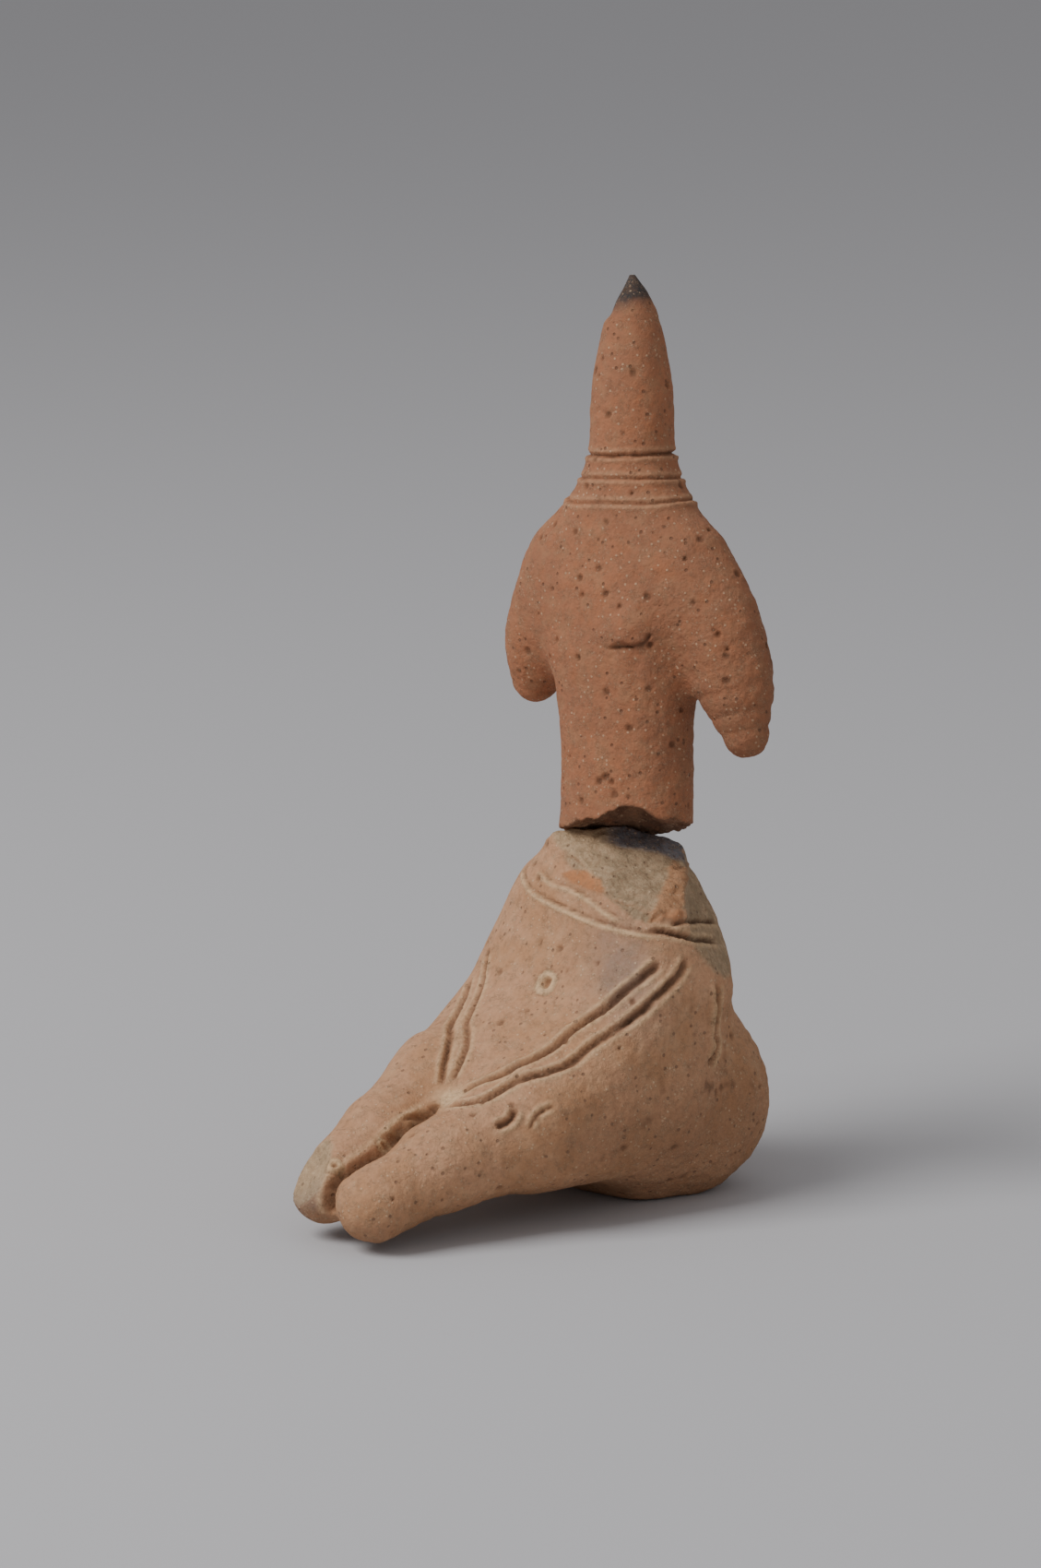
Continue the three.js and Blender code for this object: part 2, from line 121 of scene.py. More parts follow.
def roll(p, start, end, start_radius, end_radius):
    """A rolled length of clay, thicker at one end."""
    start = np.array(start, float)
    run = np.array(end, float) - start
    t = np.clip((p - start) @ run / (run @ run), 0, 1)
    off = p - start - t[:, None] * run
    return np.sqrt((off * off).sum(1)) - start_radius - t * (end_radius - start_radius)


def one_leg(p, side, lift):
    """Hip, thigh, shin and foot of one leg, stretched out to the front."""
    hip, thigh = (side * 7.8, -5, 11.5), (side * 6.6, -19, 10.6 + lift)
    knee, foot = (side * 4.9, -29.5, 8 + lift), (side * 3.8, -38.4, 4.7 + 0.6 * lift)
    upper = join(roll(p, hip, thigh, 8.2, 7), roll(p, thigh, knee, 7, 4.4), 1)
    return join(upper, roll(p, knee, foot, 4.4, 3.7), 2)


def lower_body(p):
    """The seated body before it broke."""
    body = stacked(p, trunk_sections, 3.2, 2.2)
    for side in (1, -1):
        body = join(body, egg(p, (side * 7.2, 4, 9.8), (7.4, 8.9, 9.7)), 3)
    legs = join(one_leg(p, 1, 0), one_leg(p, -1, 1), 3.4)
    body = join(body, legs, 2)
    body = join(body, roll(p, (0, -14, 15.2), (0, -23.6, 9.8), 5, 3), 3)
    return trim(body, -p[:, 2], 1)


def bearing(p):
    """Level distances along the slope of the breaks and across it."""
    turn = math.radians(48)
    along = p[:, 0] * math.cos(turn) + p[:, 1] * math.sin(turn)
    away = p[:, 1] * math.cos(turn) - p[:, 0] * math.sin(turn)
    return along, away


def lumps(p, sizes, seed):
    """Uneven clay: smooth lumps of several sizes, each with its own height, as gradient noise."""
    total = np.zeros(len(p))
    for n, (size, height) in enumerate(sizes):
        draw = np.random.default_rng(seed + n)
        order = draw.permutation(256)
        slopes = draw.normal(size=(256, 3))
        slopes /= np.linalg.norm(slopes, axis=1)[:, None]
        q = p / size + draw.uniform(0, 64, 3)
        cell = np.floor(q).astype(np.int64)
        t = q - cell
        fade = t * t * t * (t * (t * 6 - 15) + 10)
        for corner in np.ndindex(2, 2, 2):
            at = (cell + corner) & 255
            pick = order[(order[(order[at[:, 0]] + at[:, 1]) & 255] + at[:, 2]) & 255]
            weight = np.prod(np.where(corner, fade, 1 - fade), axis=1)
            total += 1.6 * height * weight * (slopes[pick] * (t - corner)).sum(1)
    return total


def ridge_height(along, away):
    """Height of the waist's ridge, which carries the upper fragment."""
    back = 0.33 * np.maximum(away - 0.3, 0)
    front = 0.5 * np.maximum(0.3 - away, 0)
    return 39 - 0.022 * (along + 2) ** 2 - back - front


def waist_cut(p):
    """Height above the broken waist, which is a coarse, crumbly fracture."""
    along, away = bearing(p)
    corner = 1.7 * ease(along, 6.6, 7.4) + 1.05 * np.maximum(along - 7, 0)
    crumbs = lumps(p, ((3.2, 0.34), (1.3, 0.2), (0.6, 0.12)), 11)
    return p[:, 2] - (ridge_height(along, away) - 0.12 - corner + crumbs)


def lower_form(p):
    """The lower fragment as it is, with its broken waist and worn seat."""
    return trim(lower_body(p), waist_cut(p), 0.3)


def clay_skin(form, room, cell):
    """The skin of a form as points and quads: one point in each grid cell that it crosses."""
    low, high = (np.array(corner, float) for corner in room)
    axes = [np.arange(a, b + cell, cell) for a, b in zip(low, high)]
    stride = 4
    coarse = np.stack(np.meshgrid(*(a[::stride] for a in axes), indexing="ij"), -1)
    rough = form(coarse.reshape(-1, 3)).reshape(coarse.shape[:3])
    nearest = [
        np.minimum((np.arange(len(a)) + stride // 2) // stride, rough.shape[k] - 1)
        for k, a in enumerate(axes)
    ]
    value = rough[np.ix_(*nearest)]
    close = np.argwhere(np.abs(value) < 1.9 * stride * cell)
    value[tuple(close.T)] = form(low + close * cell)
    inside = value < 0
    corners = list(np.ndindex(2, 2, 2))
    size = [n - 1 for n in inside.shape]
    full = sum(
        inside[i:i + size[0], j:j + size[1], k:k + size[2]].astype(np.int8) for i, j, k in corners
    )
    cells = np.argwhere((full > 0) & (full < 8))
    number = -np.ones(size, np.int64)
    number[tuple(cells.T)] = np.arange(len(cells))
    place = np.zeros((len(cells), 3))
    crossings = np.zeros(len(cells))
    for corner in corners:
        for axis in range(3):
            if corner[axis]:
                continue
            other = np.array(corner)
            other[axis] = 1
            a = value[tuple((cells + corner).T)]
            b = value[tuple((cells + other).T)]
            crossed = (a < 0) != (b < 0)
            t = np.where(crossed, a / np.where(a == b, 1, a - b), 0)
            at = np.tile(np.array(corner, float), (len(cells), 1))
            at[:, axis] += t
            place += np.where(crossed[:, None], at, 0)
            crossings += crossed
    points = low + (cells + place / crossings[:, None]) * cell
    quads = []
    for axis in range(3):
        u, v = [k for k in range(3) if k != axis]
        here = [slice(None)] * 3
        there = [slice(None)] * 3
        here[axis] = slice(0, -1)
        there[axis] = slice(1, None)
        edges = np.argwhere(inside[tuple(here)] != inside[tuple(there)])
        leaving = inside[tuple(edges.T)] == (axis != 1)
        ring = []
        for du, dv in ((1, 1), (0, 1), (0, 0), (1, 0)):
            at = edges.copy()
            at[:, u] -= du
            at[:, v] -= dv
            ring.append(number[tuple(at.T)])
        quad = np.stack(ring, 1)
        quad[~leaving] = quad[~leaving][:, ::-1]
        quads.append(quad)
    return points, np.concatenate(quads)


def slope_of(form, p, reach):
    """The outward direction of a form's skin, as its slope."""
    slope = np.empty_like(p)
    for axis in range(3):
        step = np.zeros(3)
        step[axis] = reach
        slope[:, axis] = (form(p + step) - form(p - step)) / (2 * reach)
    return slope


def onto_skin(form, p, rounds, limit):
    """Moves points onto the skin of a form, no further than a limit."""
    at = p.copy()
    for _ in range(rounds):
        slope = slope_of(form, at, 0.03)
        steep = (slope * slope).sum(1) + 1e-9
        at -= (form(at) / steep)[:, None] * slope
    moved = at - p
    far = np.sqrt((moved * moved).sum(1)) + 1e-9
    return p + moved * np.minimum(1, limit / far)[:, None]


def facing(points, quads):
    """The outward direction at each point of a mesh."""
    normal = np.cross(
        points[quads[:, 2]] - points[quads[:, 0]], points[quads[:, 3]] - points[quads[:, 1]]
    )
    total = np.zeros_like(points)
    for k in range(4):
        np.add.at(total, quads[:, k], normal)
    return total / (np.linalg.norm(total, axis=1)[:, None] + 1e-12)


def drawn_line(form, through):
    """Places close together along a line on the clay, with its direction and its left side."""
    knots = np.array(through, float)
    padded = np.vstack([2 * knots[0] - knots[1], knots, 2 * knots[-1] - knots[-2]])
    places = []
    for a, b, c, d in zip(padded, padded[1:], padded[2:], padded[3:]):
        t = np.arange(0, 1, 0.15 / np.linalg.norm(c - b))[:, None]
        bend = (2 * a - 5 * b + 4 * c - d) * t * t + (3 * b - a - 3 * c + d) * t ** 3
        places.append(b + 0.5 * ((c - a) * t + bend))
    places = onto_skin(form, np.vstack([*places, knots[-1:]]), 3, 2.5)
    heading = np.gradient(places, axis=0)
    heading /= np.linalg.norm(heading, axis=1)[:, None] + 1e-9
    outward = slope_of(form, places, 0.5)
    left = np.cross(outward, heading)
    left /= np.linalg.norm(left, axis=1)[:, None] + 1e-9
    return places, heading, left


def beside_line(points, line, reach):
    """The points near a line, with their signed distance from it and their place along it."""
    places, heading, left = line
    near = np.flatnonzero(
        ((points > places.min(0) - reach) & (points < places.max(0) + reach)).all(1)
    )
    p = points[near]
    square = (p * p).sum(1)[:, None] + (places * places).sum(1)[None] - 2 * p @ places.T
    closest = square.argmin(1)
    off = p - places[closest]
    sideways = (off * left[closest]).sum(1)
    onward = (off * heading[closest]).sum(1)
    at_end = (closest == 0) | (closest == len(places) - 1)
    distance = np.hypot(sideways, np.where(at_end, onward, 0))
    keep = square[np.arange(len(p)), closest] < reach * reach
    pace = np.linalg.norm(np.diff(places, axis=0), axis=1).sum() / max(len(places) - 1, 1)
    return (
        near[keep], np.copysign(distance, sideways)[keep], (closest * pace)[keep],
        (len(places) - 1) * pace,
    )


class ClayMarks:
    """How far the skin is raised at each point, and how much of each colour mark it carries."""

    def __init__(self, form, points, normals):
        self.form = form
        self.points = points
        self.normals = normals
        self.raised = np.zeros(len(points))
        names = ("pale", "dark", "broken", "core", "soot", "red", "brown_stain_and_shade", "coarse")
        self.colour = {name: np.zeros(len(points)) for name in names}

    def add(self, name, amount, where=slice(None)):
        mark = self.colour[name]
        mark[where] = np.maximum(mark[where], amount)

    def groove(self, through, depth, width, left_lip=0.0, right_lip=0.0, fade=1.2, seed=0,
               dark=0.9, pale=0.6, left_slope=1.0, right_slope=1.0):
        """A line drawn in the wet clay with a stick, which throws up a lip on each side."""
        line = drawn_line(self.form, through)
        reach = width * max(left_slope, right_slope) + 2.2
        near, aside, along, length = beside_line(self.points, line, reach)
        wobble = lumps(self.points[near], ((1.6, 0.16), (0.6, 0.08)), 300 + seed)
        uneven = 1 + lumps(self.points[near] + 40, ((2.4, 0.3), (0.9, 0.2)), 320 + seed)
        end = ease(np.minimum(along, length - along), -0.1, fade)
        half = width / 2 * np.where(aside > 0, left_slope, right_slope)
        share = np.clip(1 - np.abs(aside + wobble * width) / half, 0, 1)
        hollow = ease(share, 0, 0.85) * end * uneven
        self.raised[near] -= depth * hollow
        self.add("dark", np.clip(hollow * dark * depth / 0.45, 0, 1), near)
        for lip, side in ((left_lip, 1), (right_lip, -1)):
            if lip:
                out = (aside * side - half - 0.22) / 0.26
                raised = np.exp(-out * out) * end * uneven
                self.raised[near] += lip * raised
                self.add("pale", np.clip(raised * pale, 0, 1), near)
        return near, aside, along

    def dent(self, at, radius, depth, dark=0.0, edge=0.35):
        """A round hollow pressed or lost at a place, or a raised blob if the depth is negative."""
        off = self.points - np.array(at)
        square = (off * off).sum(1)
        near = np.flatnonzero(square < (radius * 1.6) ** 2)
        distance = np.sqrt(square[near]) + lumps(self.points[near], ((0.9, 0.12),), 350)
        amount = 1 - ease(distance, radius * (1 - edge), radius * (1 + edge))
        self.raised[near] -= depth * amount
        if dark:
            self.add("dark", amount * dark, near)
        return near, amount

    def reed_ring(self, at, ring, width, depth, pit_radius, pit_depth):
        """A ring pressed in with a cut reed, with a dot in its middle and a smooth pale rim."""
        centre = onto_skin(self.form, np.array([at], float), 4, 2.5)[0]
        off = self.points - centre
        square = (off * off).sum(1)
        near = np.flatnonzero(square < (ring + 1.2) ** 2)
        wobble = lumps(self.points[near], ((1.0, 0.16),), 360)
        distance = np.sqrt(square[near]) + wobble
        cut = np.exp(-((distance - ring) / width) ** 2)
        pit = 1 - ease(distance, pit_radius * 0.75, pit_radius * 1.25)
        rim = np.exp(-((distance - (ring + pit_radius) / 2) / (0.45 * (ring - pit_radius))) ** 2)
        self.raised[near] += 0.1 * rim - depth * cut - pit_depth * pit
        self.add("pale", np.clip(0.9 * (distance < ring) * (1 - 0.7 * pit), 0, 1), near)
        self.add("dark", np.clip(0.55 * cut + 0.5 * pit, 0, 1), near)
        self.add("red", 0.5 * pit, near)

    def burnt_out_chaff(self, count, seed, where):
        """Small pits where chaff and grit burnt or fell out of the skin."""
        draw = np.random.default_rng(seed)
        allowed = np.flatnonzero(where)
        for centre in self.points[draw.choice(allowed, count, replace=False)]:
            radius = draw.uniform(0.2, 0.42)
            self.dent(centre, radius, draw.uniform(0.12, 0.3), dark=0.75)

    def placed(self, turned=None):
        """The points moved out or in along the skin."""
        return self.points + self.normals * self.raised[:, None]


points, quads = clay_skin(lower_form, lower_room, lower_cell)
points = onto_skin(lower_form, points, 2, 0.3 * lower_cell)
lower = ClayMarks(lower_form, points, facing(points, quads))
x, y, z = points.T
along, away = bearing(points)

# the broken waist, sandy outside and grey at the core, where the fire didn't reach
body_depth = lower_body(points)
cut_height = waist_cut(points)
broken = ease(cut_height - body_depth, -0.25, 0.25)
lower.add("broken", broken)
core_noise = lumps(points, ((2.4, 0.5), (0.8, 0.25)), 21)
core = ease(along + 1.6 * core_noise, -2.6, 0.2) * ease(6.9 - along, -0.3, 0.4)
core *= ease(away + 0.45 * core_noise, -2.8, -1.9) * ease(4.8 - away, 0, 0.8)
lower.add("core", broken * core)
tan_side = broken * ease(-along + core_noise, 1.5, 3.5)
lower.add("pale", 0.25 * tan_side)

# the skin, uneven from the fingers, with coarser folds over the hip and thigh
hip = ease(x, 6.5, 12.5) * ease(25.5 - z, -1, 4) * ease(y, -27, -15)
shin = ease(-y, 22, 30) * ease(x, 1.5, 5)
coarse = np.maximum(hip, 0.55 * shin) * (1 - broken)
lower.add("coarse", coarse)
lower.raised += (1 - broken) * lumps(points, ((7, 0.2), (3, 0.08)), 31)
lower.raised += (0.35 + coarse) * (1 - broken) * lumps(points, ((1.5, 0.08), (0.7, 0.05)), 41)
folds = lumps(points * (1, 1, 0.6), ((1.9, 0.3), (0.95, 0.2)), 51)
lower.raised += coarse * 0.42 * (0.3 - np.abs(folds))

# the front of the waist, where a flake came away down to the belt
def inside_outline(across, up, outline):
    """Distance inside a closed outline, in millimetres, negative outside it."""
    corners = np.array(outline, float)
    q = np.stack([across, up], 1)
    nearest = np.full(len(q), np.inf)
    inside = np.zeros(len(q), bool)
    for a, b in zip(corners, np.roll(corners, -1, axis=0)):
        run = b - a
        t = np.clip((q - a) @ run / (run @ run), 0, 1)
        off = q - a - t[:, None] * run
        nearest = np.minimum(nearest, (off * off).sum(1))
        crossed = (a[1] > q[:, 1]) != (b[1] > q[:, 1])
        span = b[1] - a[1] if b[1] != a[1] else 1e-9
        inside ^= crossed & (q[:, 0] < a[0] + (q[:, 1] - a[1]) / span * run[0])
    return np.where(inside, 1, -1) * np.sqrt(nearest)


front = away < 1.5
edge_noise = lumps(points, ((1.5, 0.3), (0.6, 0.14)), 61)
scar_outline = ((-6.6, 36.0), (-2.6, 34.0), (-0.2, 32.6), (1.1, 31.5), (2.6, 31.2), (6.3, 32.2),
                (6.6, 36.8), (0, 38.5), (-6, 38))
scar = ease(inside_outline(along, z, scar_outline) + edge_noise, -0.05, 0.3) * front * (1 - broken)
lower.raised -= scar * (0.5 + lumps(points, ((1.4, 0.22), (0.6, 0.12)), 71))
lower.add("broken", scar)
island_outline = ((-6.5, 34.8), (-5.0, 35.7), (-3.6, 35.6), (-2.1, 34.9), (-1.7, 34.2), (-2.4, 33.6),
                  (-4, 33.8), (-5.3, 34.0))
island = ease(inside_outline(along, z, island_outline) + 0.6 * edge_noise, -0.05, 0.3) * front
lower.raised += island * (0.5 * scar + 0.12)
lower.colour["broken"] *= 1 - island
lower.add("red", 0.95 * island)
rough_outline = ((2.6, 31.4), (6.4, 31.2), (7.1, 35.4), (5.4, 36.3), (4.4, 34.2), (3.4, 33.0))
rough = ease(inside_outline(along, z, rough_outline) + edge_noise, -0.1, 0.35) * front
lower.raised += rough * (0.25 + lumps(points, ((1.2, 0.35), (0.6, 0.16)), 81))
lower.add("red", 0.7 * rough)
lost_side = ease(inside_outline(along, z, ((7.0, 31.6), (14, 30.8), (14, 40), (7.0, 40))), -0.1, 0.3)
lower.raised -= lost_side * (1 - broken) * (0.45 + lumps(points, ((1.5, 0.3),), 91))
lower.add("broken", 0.7 * lost_side)
lower.add("brown_stain_and_shade", 0.5 * lost_side)

# the belt, drawn round the waist, and the thin line above it
lower.groove(((-8.4, -5.4, 34.2), (-7.2, -7.2, 33.4), (-5, -8, 32.5), (-1.7, -8.3, 31.9),
              (4.2, -8.5, 31.1), (9, -7.7, 30.6), (12, -5.8, 30.1)),
             0.26, 0.5, right_lip=0.26, seed=1, pale=0.95, dark=0.9)
lower.groove(((-5.6, -7, 34.8), (-4.5, -7.3, 34.5), (-2.3, -7.8, 33.9), (0.5, -7.8, 33.7),
              (3.6, -7.9, 33.1), (6.4, -7.8, 32.1), (8.6, -7.5, 31.4)),
             0.2, 0.4, right_lip=0.14, seed=2, pale=0.75)
lower.groove(((11.2, -6.6, 30.6), (13, -3.4, 29.9), (12.8, -0.7, 29), (10.9, 4.2, 27.9)),
             0.6, 0.8, left_lip=0.12, right_lip=0.1, seed=3)
lower.groove(((12.6, -4.4, 31.2), (12, -1.5, 30.9), (10.7, 1.3, 30.4), (8.7, 6, 29.2)),
             0.5, 0.7, right_lip=0.2, seed=4)

# the folds of the groin, each a band between two grooves, drawn down to the crotch
upper_fold = ((13.1, -6.2, 27.3), (12.4, -8.2, 25.9), (11.3, -9.8, 24.4), (10.3, -11.4, 22.8),
              (8.6, -14.3, 20.7), (8, -17.8, 18.6), (7.2, -20.9, 17.6), (6.4, -22.8, 16.7),
              (4.4, -23.7, 15.7), (1.7, -24.8, 14.4))
lower_fold = ((13.9, -3.2, 27.6), (14.2, -5.6, 25.6), (13.4, -9.1, 23), (12.7, -11.1, 21.6),
              (11.4, -15, 19.4), (10.9, -17.1, 18), (9.7, -20.4, 17), (8.7, -22.3, 16.6),
              (6.7, -25.7, 14.7), (4.7, -27.1, 14), (2.6, -26.9, 13.4))
lower.groove(upper_fold, 0.62, 0.95, left_lip=0.1, right_lip=0.2, seed=5, right_slope=1.5)
lower.groove(lower_fold, 0.55, 0.9, left_lip=0.12, right_lip=0.2, seed=6, left_slope=1.6)
lower.groove(((-10.4, -9.8, 24.8), (-9.9, -10.7, 24), (-7.4, -14, 21.2), (-5.3, -17.3, 19.4),
              (-3.6, -18.7, 18.7), (-1.6, -21, 17.2), (-0.4, -23.8, 14.9)),
             0.45, 0.8, left_lip=0.16, right_lip=0.14, seed=7)
lower.groove(((-11.8, -11.1, 22.3), (-9.4, -14.6, 20.6), (-6.8, -18.2, 19), (-4.3, -20.6, 18.3),
              (-2.5, -23, 16.2), (-1.1, -24.7, 14.4)),
             0.5, 0.85, left_lip=0.14, right_lip=0.2, seed=8)

# the crotch, a pale smeared patch with a pit, and the deep groove between the legs
near, amount = lower.dent((-0.1, -26.6, 12.9), 0.5, 0.9, dark=0.9)
patch = np.exp(-(((x - 1.4) / 2.0) ** 2 + ((y + 25.2) / 1.3) ** 2 + ((z - 13.6) / 1.4) ** 2))
lower.add("pale", np.clip(1.5 * patch, 0, 0.95))
lower.groove(((0.2, -26.8, 12.8), (0.4, -30, 11), (0.3, -34, 9), (0.2, -38, 7), (0.1, -41.5, 4.6),
              (0, -42.6, 2.2)),
             1.15, 1.0, seed=9, fade=0.6, right_slope=2.6, right_lip=0.05, dark=0.4)
lower.groove(((0.1, -27.3, 12.5), (-0.7, -28.8, 12), (-1, -30.6, 11.6)), 0.35, 0.6, seed=10,
             left_lip=0.1, right_lip=0.15)
lower.groove(((0.6, -31.1, 10.9), (-0.7, -32.4, 10.5), (-1.6, -33.4, 10.3)), 0.22, 0.5, seed=11,
             right_lip=0.12)

# marks pressed in with a cut reed: the navel and two rings on the right shin
lower.reed_ring((1, -11.7, 23.9), 1.5, 0.16, 0.16, 0.62, 0.6)
lower.reed_ring((-1.5, -39.1, 8.2), 1.0, 0.15, 0.2, 0.3, 0.3)
lower.reed_ring((-0.4, -33.4, 9.9), 0.72, 0.14, 0.18, 0.28, 0.22)

# creases, cracks and hollows in the near thigh and hip
lower.groove(((10.2, -24.3, 14.1), (10.4, -25.3, 13), (9.6, -26.6, 12.3)), 0.6, 1.0, seed=12,
             left_lip=0.2, right_lip=0.35, fade=0.6)
lower.groove(((11.9, -23.9, 12), (11.9, -23.1, 13.2), (12.1, -22.1, 13.8), (12.6, -21.2, 14.2)),
             0.3, 0.5, seed=13, left_lip=0.2, right_lip=0.1, fade=0.6)
lower.groove(((14.8, 0.4, 24.5), (14.8, 0.3, 23), (14.5, 0.3, 19.3), (14.4, 0.8, 17.4),
              (14.8, -1.1, 15.6)), 0.5, 1.2, seed=14, left_lip=0.1, right_lip=0.5, dark=0.6)

# soot, stains and worn colour, and painted shade low on the left hip and under the figure
cloud = np.exp(-(((along + 1.6 * (z - 26) / 12) / 3.6) ** 2 + ((z - 26.4) / 4.6) ** 2)) * (y < 0)
lower.add("soot", np.clip(0.6 * cloud * (1 + 1.2 * core_noise), 0, 0.55) * (1 - broken))
foot_tip = ease(-y, 39.6, 41.6) * ease(-x, 0.4, 1.6)
lower.add("soot", 0.6 * foot_tip * (0.6 + core_noise))
stain_noise = lumps(points, ((2.2, 0.5), (0.9, 0.35)), 101)
lower.add("dark", np.clip(coarse * (stain_noise - 0.28) * 2.2, 0, 0.7))
# painted shade with some real brown staining: the left hip browner low down, on the side away from the
# light
lower.add("brown_stain_and_shade", 0.75 * ease(x, 11, 15.5) * ease(20 - z, 0, 12))
# painted shade: browner towards the bottom, where the underside faces away from the light
lower.add("brown_stain_and_shade", 0.5 * ease(7 - z, 0, 6))
lower.burnt_out_chaff(130, 111, (z > 0.8) & (broken < 0.2))

worn_seat = lower.placed()
worn_seat[:, 2] = np.maximum(worn_seat[:, 2], seat_worn_to)
flat = ease(0.6 - z, 0, 0.4)
worn_seat[:, 2] = np.where(z < 0.35, np.maximum(worn_seat[:, 2], seat_worn_to), worn_seat[:, 2])


def linear(shade):
    """A shader colour from an sRGB hex value."""
    parts = [int(shade[k:k + 2], 16) / 255 for k in (1, 3, 5)]
    made = [c / 12.92 if c <= 0.04045 else ((c + 0.055) / 1.055) ** 2.4 for c in parts]
    return (*made, 1.0)


def put(tree, kind, settings=None, sockets=None):
    """Adds a node with its settings, and sets or links its inputs."""
    made = tree.nodes.new(kind)
    for name, value in (settings or {}).items():
        setattr(made, name, value)
    for name, value in (sockets or {}).items():
        if isinstance(value, bpy.types.NodeSocket):
            tree.links.new(value, made.inputs[name])
        else:
            made.inputs[name].default_value = value
    return made


def fired_clay(name, shades):
    """Low-fired clay with sand and chaff: matt, mottled, granular, with pale grains and pits."""
    material = bpy.data.materials.new(name)
    material.use_nodes = True
    tree = material.node_tree
    tree.nodes.clear()
    place = put(tree, "ShaderNodeTexCoord").outputs["Object"]
    mm = put(tree, "ShaderNodeMapping", sockets={"Vector": place, "Scale": (1000, 1000, 1000)})
    mm = mm.outputs["Vector"]

    def noise(scale, detail=2.0, roughness=0.5, distortion=0.0, vector=mm):
        return put(tree, "ShaderNodeTexNoise", sockets={
            "Vector": vector, "Scale": scale, "Detail": detail, "Roughness": roughness,
            "Distortion": distortion}).outputs["Fac"]

    def maths(operation, a, b=0.0, c=0.0, clamp=False):
        return put(tree, "ShaderNodeMath", {"operation": operation, "use_clamp": clamp},
                   {0: a, 1: b, 2: c}).outputs[0]

    def range_of(value, low, high, to_low=0.0, to_high=1.0):
        return put(tree, "ShaderNodeMapRange", {"interpolation_type": "SMOOTHSTEP"}, {
            "Value": value, "From Min": low, "From Max": high, "To Min": to_low,
            "To Max": to_high}).outputs["Result"]

    def blend(share, a, b):
        return put(tree, "ShaderNodeMix", {"data_type": "RGBA"}, {0: share, 6: a, 7: b}).outputs[2]

    def mark(mark_name):
        return put(tree, "ShaderNodeAttribute", {"attribute_name": mark_name}).outputs["Fac"]

    def cells(scale, feature="F1", vector=mm, randomness=1.0):
        return put(tree, "ShaderNodeTexVoronoi", {"feature": feature}, {
            "Vector": vector, "Scale": scale, "Randomness": randomness})

    pale, dark, broken, core = mark("pale"), mark("dark"), mark("broken"), mark("core")
    soot, red, brown_stain_and_shade, coarse = mark("soot"), mark("red"), mark("brown_stain_and_shade"), mark("coarse")
    wide = noise(0.13, 3, 0.55)
    patchy = noise(0.55, 4, 0.6)
    fine = noise(2.2, 4, 0.65)
    skin = blend(range_of(wide, 0.4, 0.62), linear(shades["skin"]), linear(shades["flush"]))
    skin = blend(range_of(patchy, 0.45, 0.68, 0, 0.6), skin, linear(shades["tan"]))
    skin = blend(maths("MULTIPLY", red, 0.9), skin, linear(shades["orange"]))
    # the brown mark: real brown stains, and painted shade on sides and undersides away from the light
    skin = blend(maths("MULTIPLY", brown_stain_and_shade, 0.8), skin, linear(shades["brown_stain_and_shade"]))
    sandy = blend(range_of(patchy, 0.4, 0.65), linear(shades["sand"]), linear(shades["sand_dark"]))
    sandy = blend(maths("MULTIPLY", red, 0.8), sandy, linear(shades["orange"]))
    skin = blend(broken, skin, sandy)
    grey = blend(range_of(noise(0.7, 4, 0.6), 0.4, 0.65), linear(shades["core"]),
                 linear(shades["core_dark"]))
    skin = blend(core, skin, grey)
    skin = blend(soot, skin, linear(shades["soot"]))
    skin = blend(pale, skin, linear(shades["slip"]))

    # pale chaff ghosts and grains, dark grit, and pits
    bent = put(tree, "ShaderNodeVectorMath", {"operation": "MULTIPLY_ADD"}, {
        0: put(tree, "ShaderNodeTexNoise", sockets={"Vector": mm, "Scale": 0.8}).outputs["Color"],
        1: (1.2, 1.2, 1.2), 2: mm}).outputs[0]
    fibre = noise(2.6, 2, 0.6, 1.4, bent)
    fibre = maths("SUBTRACT", 1.0, maths("ABSOLUTE", maths("MULTIPLY_ADD", fibre, 2.0, -1.0)))
    ghost = range_of(fibre, 0.93, 0.99)
    ghost = maths("MULTIPLY", ghost, range_of(noise(0.9, 2), 0.45, 0.6))
    skin = blend(maths("MULTIPLY", ghost, shades["ghosts"]), skin, linear(shades["chaff"]))
    grain = cells(1.9)
    grain_shade = put(tree, "ShaderNodeSeparateColor", sockets={0: grain.outputs["Color"]})
    is_grain = maths("MULTIPLY", range_of(grain_shade.outputs[0], 0.74, 0.78),
                     range_of(grain.outputs["Distance"], 0.32, 0.22))
    skin = blend(maths("MULTIPLY", is_grain, shades["grains"]), skin, linear(shades["chaff"]))
    grit = cells(1.3)
    grit_shade = put(tree, "ShaderNodeSeparateColor", sockets={0: grit.outputs["Color"]})
    is_grit = maths("MULTIPLY", range_of(grit_shade.outputs[1], 0.8, 0.84),
                    range_of(grit.outputs["Distance"], 0.3, 0.16))
    skin = blend(maths("MULTIPLY", is_grit, 0.6), skin, linear(shades["grit"]))
    skin = blend(range_of(fine, 0.35, 0.7, 0.0, 0.35), skin, linear(shades["brown_stain_and_shade"]))
    skin = blend(maths("MULTIPLY", dark, 0.75), skin, linear(shades["groove"]))

